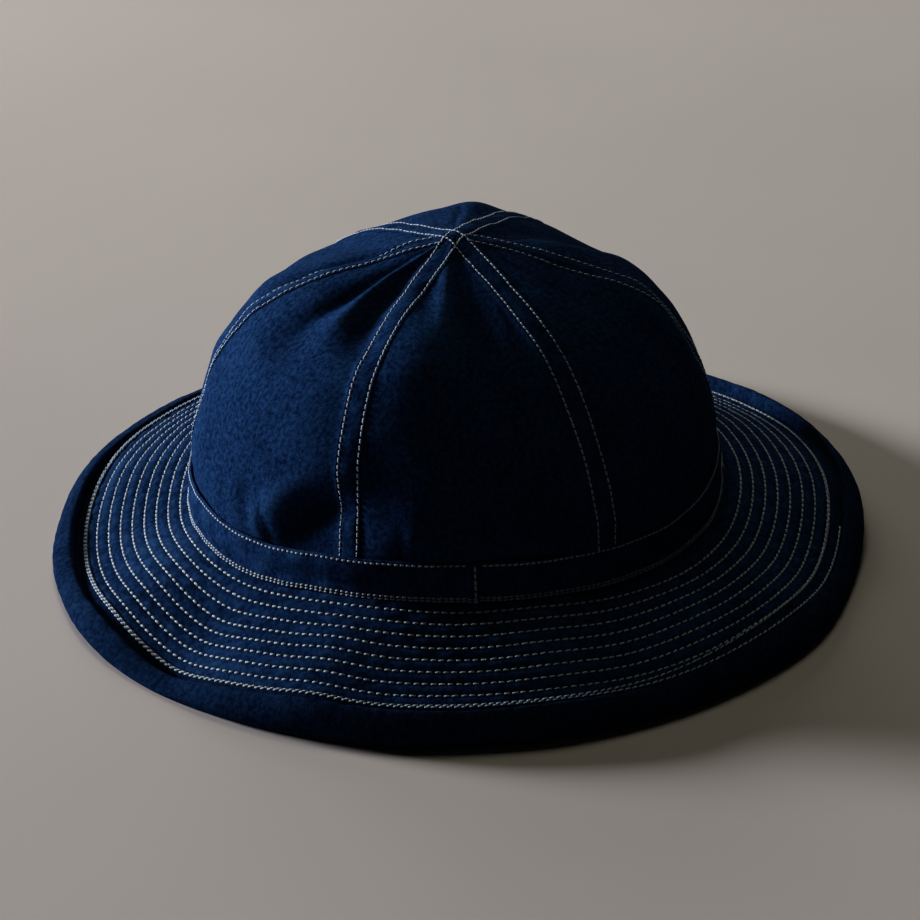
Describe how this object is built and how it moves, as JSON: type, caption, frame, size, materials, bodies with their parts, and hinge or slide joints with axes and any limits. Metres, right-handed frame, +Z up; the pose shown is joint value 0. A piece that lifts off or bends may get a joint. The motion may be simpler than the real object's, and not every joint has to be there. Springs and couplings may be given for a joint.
{
  "type": "cloth hat",
  "caption": "Soft indigo denim hat with a panelled crown, a narrow band and a sloping brim stitched in close rows and bound at its edge.",
  "frame": {"origin": "on the floor under the middle of the brim's outline, the hat lying on its brim", "axes": "+Z up through the crown, -Y toward the join of the band, +X to the right of it"},
  "size_m": [0.2933, 0.2925, 0.1172],
  "materials": {
    "crown_cloth": "indigo denim twill, soft and matt",
    "band_cloth": "indigo denim twill, folded strip",
    "brim_cloth": "indigo denim twill, doubled and stitched",
    "binding_cloth": "indigo denim twill, folded and puffed"
  },
  "bodies": {
    "root": {"panel_front": "crown_cloth", "panel_front_right": "crown_cloth", "panel_back_right": "crown_cloth", "panel_back": "crown_cloth", "panel_back_left": "crown_cloth", "panel_front_left": "crown_cloth", "hat_band": "band_cloth", "brim": "brim_cloth", "brim_binding": "binding_cloth"}
  },
  "joints": []
}
